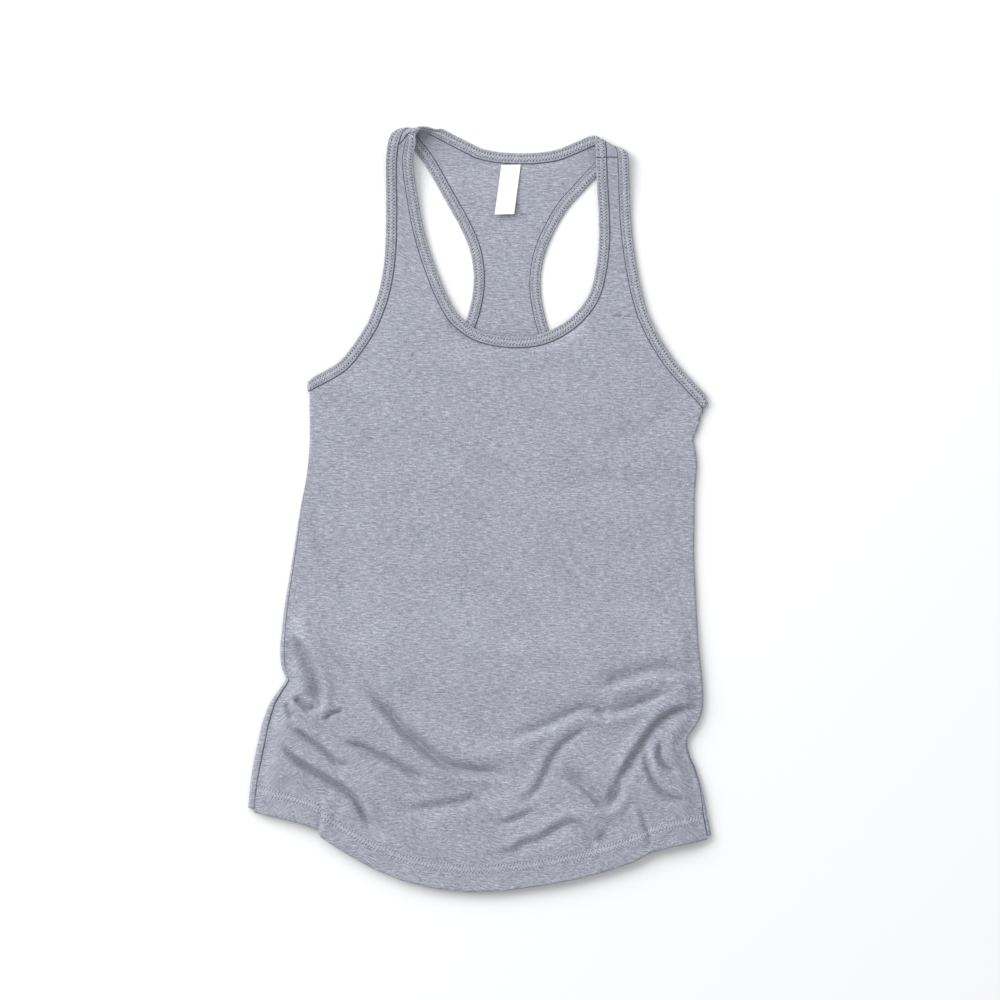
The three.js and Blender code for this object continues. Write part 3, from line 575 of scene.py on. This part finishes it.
def binding_piece(name, frames, material, ring):
    """Folded binding: a rounded strip with a soft outer fold, pulled in where the needle rows hold it."""
    high, low = section_heights(frames)
    run = frames["run"]
    width = BINDING_WIDTH / np.maximum(frames["skew"], 0.92)
    width = width * frames["narrow"]
    gap = 0.6 * frames["lies"] + 0.4 * (1 - frames["lies"])
    turns = 2 * math.pi * round(run[-1] / 6.1) / run[-1]
    sway = 0.10 * np.sin(run * turns) + 0.07 * np.sin(run * turns * 2 + 1)
    beat = 0.5 + 0.5 * np.cos(run * 2 * math.pi * round(run[-1] / STITCH_PITCH) / run[-1])
    around = []
    for s, h in SECTION:
        out = gap + (width - gap) * s + sway * s
        held = sum(np.exp(-(((out - row * frames["narrow"]) / 0.62) ** 2)) for row in STITCH_ROWS)
        sunk = (0.03 + 0.3 * beat) * held * (1 if h > 0.5 else -1)
        rise = low + (high - low) * h - sunk
        around.append(frames["p"] + frames["away"] * out[:, None] + frames["up"] * rise[:, None])
    grid = np.stack(around + around[:1], axis=1)
    grid[..., 2] = np.maximum(grid[..., 2], 0.02)
    girth = np.concatenate([[0], np.cumsum(np.linalg.norm(np.diff(grid[len(grid) // 2], axis=0), axis=1))])
    uvs = np.stack(np.broadcast_arrays(girth[None, :] * MM, run[:, None] * MM), axis=2)
    bm = bmesh.new()
    uv_layer = bm.loops.layers.uv.new("Pattern")
    grid_into(bm, metres(grid), uvs, uv_layer)
    bmesh.ops.remove_doubles(bm, verts=bm.verts, dist=2e-6)
    if not ring:
        bmesh.ops.holes_fill(bm, edges=[e for e in bm.edges if e.is_boundary], sides=0)
    bmesh.ops.recalc_face_normals(bm, faces=bm.faces)
    mesh = bpy.data.meshes.new(name)
    bm.to_mesh(mesh)
    bm.free()
    for face in mesh.polygons:
        face.use_smooth = True
    mesh.materials.append(material)
    return add_object(name, mesh)


def thread_piece(name, lines, radius, material):
    """Sewing thread, and the near-black cords of painted shade: lines of points swept as a fine round cord and made a
    mesh.
    """
    curve = bpy.data.curves.new(name, "CURVE")
    curve.dimensions = "3D"
    curve.bevel_depth = radius * MM
    curve.bevel_resolution = 0
    curve.use_fill_caps = True
    for line in lines:
        spline = curve.splines.new("POLY")
        spline.points.add(len(line) - 1)
        flat = np.hstack([metres(line), np.ones((len(line), 1))]).ravel()
        spline.points.foreach_set("co", flat)
    holder = add_object(name + "_line", curve)
    bpy.context.view_layer.update()
    mesh = bpy.data.meshes.new_from_object(holder.evaluated_get(bpy.context.evaluated_depsgraph_get()))
    bpy.data.objects.remove(holder)
    bpy.data.curves.remove(curve)
    mesh.name = name
    mesh.materials.clear()
    mesh.materials.append(material)
    for face in mesh.polygons:
        face.use_smooth = True
    return add_object(name, mesh)


def coverstitch(at, total, rows, first=0.0, pitch=STITCH_PITCH):
    """Coverstitch lines: the looper thread that zigzags between the needle rows, the needle threads, and short runs at
    their holes for near-black cords of painted shade, the shadow in each needle hole.

    at gives the points for runs along the seam, distances across it, and heights off the cloth."""
    count = int(round((total - first) / pitch))
    pitch = (total - first) / count
    places = first + np.arange(2 * count + 1) * pitch / 2
    side = np.where(np.arange(2 * count + 1) % 2 == 0, rows[0] + 0.3, rows[1] - 0.3)
    places[1::2] -= 0.22 * pitch
    steps = np.linspace(0, 2 * count, 6 * count + 1)
    looper = at(np.interp(steps, np.arange(2 * count + 1), places), np.interp(steps, np.arange(2 * count + 1), side),
                0.12 + 0 * steps)
    needle, holes = [], []
    for row in rows:
        for i in range(count):
            run = first + (np.array([0.2, 0.34, 0.66, 0.8]) + i) * pitch
            needle.append(at(run, row + 0 * run, np.array([-0.1, 0.1, 0.1, -0.1])))
            # Short near-black cords of painted shade: the shadow in each needle hole
            run = first + (np.array([-0.17, 0.17]) + i) * pitch
            holes.append(at(run, row + 0 * run, np.array([-0.16, -0.16])))
    return looper, needle, holes


def over_binding(frames, side):
    """Points on a binding's face, for its stitches: side 1 is its outer face and -1 the face towards the inside."""
    face = section_heights(frames)[0 if side > 0 else 1]

    def at(run, out, rise):
        pick = {k: np.stack([np.interp(run, frames["run"], frames[k][:, c]) for c in range(3)], axis=1)
                for k in ("p", "away", "up")}
        top = np.interp(run, frames["run"], face) + side * rise
        out = out * np.interp(run, frames["run"], frames["narrow"])
        points = pick["p"] + pick["away"] * out[:, None] + pick["up"] * top[:, None]
        points[:, 2] = np.maximum(points[:, 2], 0.12)
        return points

    return at


def over_hem(rows, out_at):
    """Points on a panel's outer face at a given depth above the hem, for runs from its left side to its right."""
    grid, normal = rows["body"], rows["n"]["body"]
    face = grid + normal * out_at(grid)[..., None]
    depth = grid[..., 1] - hem_at(grid[..., 0]) - (0 if rows["front"] else BACK_HEM_SHORT)
    first = FRONT_FINE["roll"] if rows["front"] else 3
    columns = range(first, grid.shape[1] - first)
    middle = np.array([[np.interp(HEM_DEPTH, depth[:, c], face[:, c, k]) for k in range(3)] for c in columns])
    run = np.concatenate([[0], np.cumsum(np.linalg.norm(np.diff(middle, axis=0), axis=1))])

    def at(where, across, rise):
        column = first + np.interp(where, run, np.arange(len(run)))
        low = np.minimum(np.floor(column).astype(int), grid.shape[1] - 2)
        share = (column - low)[:, None]
        points = []
        for c in (low, low + 1):
            row = np.array([np.interp(HEM_DEPTH + a, depth[:, k], np.arange(len(depth))) for a, k in zip(across, c)])
            j = np.minimum(np.floor(row).astype(int), len(depth) - 2)
            t = (row - j)[:, None]
            points.append((face[j, c] * (1 - t) + face[j + 1, c] * t, normal[j, c]))
        spot = points[0][0] * (1 - share) + points[1][0] * share
        up = points[0][1] * (1 - share) + points[1][1] * share
        spot = spot + up * rise[:, None]
        spot[:, 2] = np.maximum(spot[:, 2], 0.1)
        return spot

    return at, run[-1]


# Materials ---------------------------------------------------------------------------------------------------------


def new_material(name):
    material = bpy.data.materials.new(name)
    material.use_nodes = True
    tree = material.node_tree
    return material, tree, tree.nodes["Principled BSDF"]


def node(tree, kind, **values):
    made = tree.nodes.new(kind)
    for key, value in values.items():
        if key in made.inputs:
            made.inputs[key].default_value = value
        else:
            setattr(made, key, value)
    return made


def heather_jersey(name, along, shade=1.0, strength=1.0):
    """Heather jersey: fine streaks of dark and light fibre along the courses, knit loops, and a soft nap."""
    material, tree, shader = new_material(name)
    link = tree.links.new
    uv = node(tree, "ShaderNodeUVMap", uv_map="Pattern")

    def streaks(course, wale, detail, offset, distortion=0.0):
        mapping = node(tree, "ShaderNodeMapping")
        mapping.inputs["Scale"].default_value = (course, wale, 1) if along == "u" else (wale, course, 1)
        mapping.inputs["Location"].default_value = offset
        noise = node(tree, "ShaderNodeTexNoise", Detail=detail, Roughness=0.55, Scale=1.0, Distortion=distortion)
        link(uv.outputs["UV"], mapping.inputs["Vector"])
        link(mapping.outputs["Vector"], noise.inputs["Vector"])
        return noise.outputs["Fac"]

    def add_share(share, value, onto):
        """onto + share * (value - 0.5)"""
        scaled = node(tree, "ShaderNodeMath", operation="MULTIPLY_ADD")
        scaled.inputs[1].default_value = share
        scaled.inputs[2].default_value = -0.5 * share
        link(value, scaled.inputs[0])
        total = node(tree, "ShaderNodeMath", operation="ADD")
        link(scaled.outputs[0], total.inputs[0])
        if isinstance(onto, float):
            total.inputs[1].default_value = onto
        else:
            link(onto, total.inputs[1])
        return total.outputs[0]

    fine = streaks(430, 1150, 2.0, (3, 7, 0), 0.4)
    fleck = streaks(760, 1500, 1.0, (17, 2, 0))
    value = add_share(0.62 * strength, fine, 0.5)
    value = add_share(0.68 * strength, streaks(150, 780, 1.5, (31, 5, 0), 0.3), value)
    value = add_share(0.40 * strength, fleck, value)
    value = add_share(0.11, streaks(22, 40, 2.0, (8, 1, 0)), value)
    ramp = node(tree, "ShaderNodeValToRGB")
    stops = ramp.color_ramp.elements
    stops[0].position, stops[1].position = 0.22, 0.80
    stops[0].color = (0.125 * shade, 0.129 * shade, 0.165 * shade, 1)
    stops[1].color = (0.500 * shade, 0.510 * shade, 0.560 * shade, 1)
    mid = stops.new(0.5)
    mid.color = (0.268 * shade, 0.274 * shade, 0.322 * shade, 1)
    link(value, ramp.inputs["Fac"])
    link(ramp.outputs["Color"], shader.inputs["Base Color"])

    # Knit loops: courses and wales as two fine waves, with the fibre noise on top
    waves_across = node(tree, "ShaderNodeTexWave", Scale=290.0, Distortion=1.2, Detail=1.0)
    waves_across.bands_direction = "X" if along == "u" else "Y"
    courses = node(tree, "ShaderNodeTexWave", Scale=380.0, Distortion=1.6, Detail=1.0)
    courses.bands_direction = "Y" if along == "u" else "X"
    loops = node(tree, "ShaderNodeMath", operation="MULTIPLY")
    for source, socket in ((waves_across, 0), (courses, 1)):
        link(uv.outputs["UV"], source.inputs["Vector"])
        link(source.outputs["Fac"], loops.inputs[socket])
    nap = node(tree, "ShaderNodeMath", operation="ADD")
    link(loops.outputs[0], nap.inputs[0])
    link(fine, nap.inputs[1])
    bump = node(tree, "ShaderNodeBump", Strength=0.5, Distance=0.0005)
    link(nap.outputs[0], bump.inputs["Height"])
    link(bump.outputs["Normal"], shader.inputs["Normal"])
    shader.inputs["Roughness"].default_value = 0.92
    shader.inputs["Specular IOR Level"].default_value = 0.15
    shader.inputs["Sheen Weight"].default_value = 0.10
    shader.inputs["Sheen Roughness"].default_value = 0.5
    shader.inputs["Sheen Tint"].default_value = (0.88, 0.88, 0.92, 1)
    return material


def sewing_thread(name, dark, light):
    material, tree, shader = new_material(name)
    coords = node(tree, "ShaderNodeTexCoord")
    noise = node(tree, "ShaderNodeTexNoise", Scale=900.0, Detail=2.0)
    ramp = node(tree, "ShaderNodeValToRGB")
    ramp.color_ramp.elements[0].position, ramp.color_ramp.elements[1].position = 0.35, 0.65
    ramp.color_ramp.elements[0].color = (*dark, 1)
    ramp.color_ramp.elements[1].color = (*light, 1)
    tree.links.new(coords.outputs["Object"], noise.inputs["Vector"])
    tree.links.new(noise.outputs["Fac"], ramp.inputs["Fac"])
    tree.links.new(ramp.outputs["Color"], shader.inputs["Base Color"])
    shader.inputs["Roughness"].default_value = 0.7
    return material


def woven_label():
    material, tree, shader = new_material("woven label")
    uv = node(tree, "ShaderNodeUVMap", uv_map="Pattern")
    weave = node(tree, "ShaderNodeTexWave", Scale=520.0, Distortion=0.4)
    noise = node(tree, "ShaderNodeTexNoise", Scale=240.0, Detail=2.0)
    ramp = node(tree, "ShaderNodeValToRGB")
    ramp.color_ramp.elements[0].color = (0.60, 0.60, 0.61, 1)
    ramp.color_ramp.elements[1].color = (0.67, 0.67, 0.67, 1)
    bump = node(tree, "ShaderNodeBump", Strength=0.25, Distance=0.0002)
    for source in (weave, noise):
        tree.links.new(uv.outputs["UV"], source.inputs["Vector"])
    tree.links.new(noise.outputs["Fac"], ramp.inputs["Fac"])
    tree.links.new(ramp.outputs["Color"], shader.inputs["Base Color"])
    tree.links.new(weave.outputs["Fac"], bump.inputs["Height"])
    tree.links.new(bump.outputs["Normal"], shader.inputs["Normal"])
    shader.inputs["Roughness"].default_value = 0.6
    return material


def floor_finish():
    material, tree, shader = new_material("pale floor")
    shader.inputs["Base Color"].default_value = (0.62, 0.62, 0.62, 1)
    shader.inputs["Roughness"].default_value = 0.9
    shader.inputs["Specular IOR Level"].default_value = 0.1
    return material


# Camera, light and floor ---------------------------------------------------------------------------------------------

camera_data = bpy.data.cameras.new("camera")
camera_data.lens = 122.7
camera_data.sensor_width = 36
camera = add_object("camera", camera_data)
camera.location = (0.00565, 0.0094, 3.0)
camera.rotation_euler = (0, 0, math.radians(2.4))
bpy.context.scene.camera = camera

world = bpy.data.worlds.new("soft studio")
world.use_nodes = True
world.node_tree.nodes["Background"].inputs["Color"].default_value = (0.97, 0.98, 1.0, 1)
world.node_tree.nodes["Background"].inputs["Strength"].default_value = 0.95
bpy.context.scene.world = world
bpy.context.scene.view_settings.view_transform = "Standard"


def soft_light(name, place, size, power):
    light = bpy.data.lights.new(name, "AREA")
    light.shape = "DISK"
    light.size = size
    light.energy = power
    lamp = add_object(name, light)
    lamp.location = place
    lamp.rotation_euler = Vector(place).to_track_quat("Z", "Y").to_euler()
    return lamp


soft_light("key light", (-3.5, 1.8, 2.5), 3.4, 270)
soft_light("top light", (-0.6, 2.6, 2.2), 2.0, 36)

floor_mesh = bpy.data.meshes.new("floor")
bm = bmesh.new()
bmesh.ops.create_grid(bm, x_segments=1, y_segments=1, size=6.0)
for vertex in bm.verts:
    vertex.co.z = -0.0002
bm.to_mesh(floor_mesh)
bm.free()
floor_mesh.materials.append(floor_finish())
add_object("floor", floor_mesh)

# The garment ---------------------------------------------------------------------------------------------------------

jersey = heather_jersey("heather jersey", "u", 0.88, 0.87)
binding_jersey = heather_jersey("binding jersey", "v", 0.85, 0.66)
thread = sewing_thread("sewing thread", (0.30, 0.31, 0.35), (0.56, 0.57, 0.61))
# Near-black cords of painted shade: the shadow in the ditch beside each binding, in the needle holes and along the
# shoulder seams
painted_shade_cord = sewing_thread("painted shade cord", (0.030, 0.032, 0.048), (0.055, 0.058, 0.078))

front_rows = finish_panel(panel_rows(True, FRONT, FRONT_FINE, 0.0))
back_rows = finish_panel(panel_rows(False, BACK, BACK_FINE, BACK_HEM_SHORT))


def front_out(grid):
    """Outer face above the middle of the wall: the hem's second layer, and the groove that its stitches pull in."""
    depth = grid[..., 1] - hem_at(grid[..., 0])
    return 0.6 + 0.45 * smooth((HEM_DEPTH + 1 - depth) / 1.6) - 0.3 * np.exp(-(((depth - HEM_DEPTH + 1.2) / 0.9) ** 2))


def back_out(grid):
    return np.full(grid.shape[:2], 0.6)


front_cloth = panel_piece("front_panel_cloth", front_rows, jersey, front_out)
back_cloth = panel_piece("back_panel_cloth", back_rows, jersey, back_out)


def backwards(line):
    return tuple(each[::-1] for each in line)


def armhole_ring(front_line, back_line, out):
    """An armhole's edge all round: half of the side fold, up the front, down the back, and the fold's other half."""
    fold = side_fold([each[0] for each in front_line], [each[0] for each in back_line], np.array(out))
    first = tuple(each[:7][::-1] for each in fold)
    last = tuple(each[6:][::-1] for each in fold)
    return [first, front_line, backwards(back_line), last]


binding_frames = {
    "neck_binding": edge_frames([backwards(back_rows["neck"]), front_rows["neck"]]),
    "armhole_binding_left": edge_frames(
        armhole_ring(front_rows["arm_left"], back_rows["arm_left"], (-1.0, 0, 0)), (-0.05, 1, 0), True),
    "armhole_binding_right": edge_frames(
        armhole_ring(front_rows["arm_right"], back_rows["arm_right"], (1.0, 0, 0)), (0.66, 0.75, 0), True, 0.3),
}
bindings = {}
threads = {}
# Painted shade where the right armhole seam's end tucks behind, below the binding: the line of a near-black cord
PAINTED_SEAM_END_SHADE = [(181.2, 99.4, 3.6), (181.3, 97.2, 3.7), (181.1, 95.0, 3.6), (180.8, 92.8, 3.3)]


def sew(name, seams):
    """One coverstitched seam: looper and needle threads as one mesh, and near-black cords of painted shade at the
    needle holes as another.
    """
    threads[name + "_looper"] = thread_piece(name + "_looper", [looper for looper, _, _ in seams], 0.26, thread)
    threads[name + "_needles"] = thread_piece(name + "_needles", [x for _, n, _ in seams for x in n], 0.2, thread)
    threads[name + "_hole_shades"] = thread_piece(name + "_hole_shades", [x for _, _, h in seams for x in h], 0.42, painted_shade_cord)


for name, frames in binding_frames.items():
    bindings[name] = binding_piece(name + "_cloth", frames, binding_jersey, name != "neck_binding")
    length = frames["run"][-1]
    # Inside, the stitches show on the back half; the front's inside lies against the back
    inside = (length * 0.36, 0.0) if name == "neck_binding" else (length, length * 0.35)
    sew(name, [coverstitch(over_binding(frames, 1), length, STITCH_ROWS),
               coverstitch(over_binding(frames, -1), inside[0], STITCH_ROWS, inside[1])])
    # A near-black cord of painted shade in the ditch between each binding and its panel, standing for the shadow there
    ditch = over_binding(frames, 1)(frames["run"], 0.25 + 0 * frames["run"], -0.5 + 0 * frames["run"])
    # At the right underarm the painted ditch shade goes on a little way down the side, where the seam's end tucks
    # behind
    tail = [np.array(PAINTED_SEAM_END_SHADE)] if name == "armhole_binding_right" else []
    threads[name + "_seam"] = thread_piece(name + "_seam", [ditch, *tail], 0.38, painted_shade_cord)
for side in ("left", "right"):
    # Shoulder seam: a dark line of painted shade, the shadow in the seam's ditch, across the strap and on over the
    # neckline's binding
    strap = front_rows[side][-1] + front_rows["n"][side][-1] * 0.7
    frames = binding_frames["neck_binding"]
    near = frames["run"][np.argmin(np.linalg.norm(frames["p"] - front_rows[side][-1, -1], axis=1))]
    over = over_binding(frames, 1)(np.full(12, near), np.linspace(0.4, BINDING_WIDTH - 0.3, 12), np.full(12, 0.15))
    threads["shoulder_seam_" + side] = thread_piece("shoulder_seam_" + side, [strap, over], 0.3, painted_shade_cord)
for name, rows, out_at in (("front_hem", front_rows, front_out), ("back_hem", back_rows, back_out)):
    at, total = over_hem(rows, out_at)
    sew(name, [coverstitch(at, total, (-2.9, 2.9))])

# Woven label: its sizes, the x and y of its top, its lean to the left, and how far its free end lifts
LABEL = {"width": 17.0, "length": 44.0, "wall": 0.5, "x": 3.6, "top": 305.2, "lean": -4.0, "curl": 2.6}


def label_piece():
    rows, columns = 40, 14
    t = np.linspace(0, 1, rows + 1)[:, None]
    s = np.linspace(-0.5, 0.5, columns + 1)[None]
    x = LABEL["x"] + LABEL["lean"] * t + s * LABEL["width"]
    y = LABEL["top"] - t * LABEL["length"] + s * 1.2
    z = 1.5 + LABEL["curl"] * t ** 2.5 + 0 * s
    grid = np.stack(np.broadcast_arrays(x, y, z), axis=2)
    bm = bmesh.new()
    uv_layer = bm.loops.layers.uv.new("Pattern")
    uvs = grid[..., :2] * MM
    made = grid_into(bm, metres(grid[::-1]), uvs[::-1], uv_layer)
    bmesh.ops.recalc_face_normals(bm, faces=bm.faces)
    mesh = bpy.data.meshes.new("neck_label_tape")
    bm.to_mesh(mesh)
    bm.free()
    mesh.materials.append(woven_label())
    piece = add_object("neck_label_tape", mesh)
    wall = piece.modifiers.new("tape wall", "SOLIDIFY")
    wall.thickness = LABEL["wall"] * MM
    wall.offset = 1
    return piece


label = label_piece()

# What each piece rides on, and the parts of model.glb that the cloth pieces stand for, hidden
# --------------------------------------

for piece in [front_cloth, back_cloth, label, *bindings.values(), *threads.values()]:
    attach(piece, "root")
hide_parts("front_panel")
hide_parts("back_panel")
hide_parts("neck_label")
for name, piece in bindings.items():
    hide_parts(name)
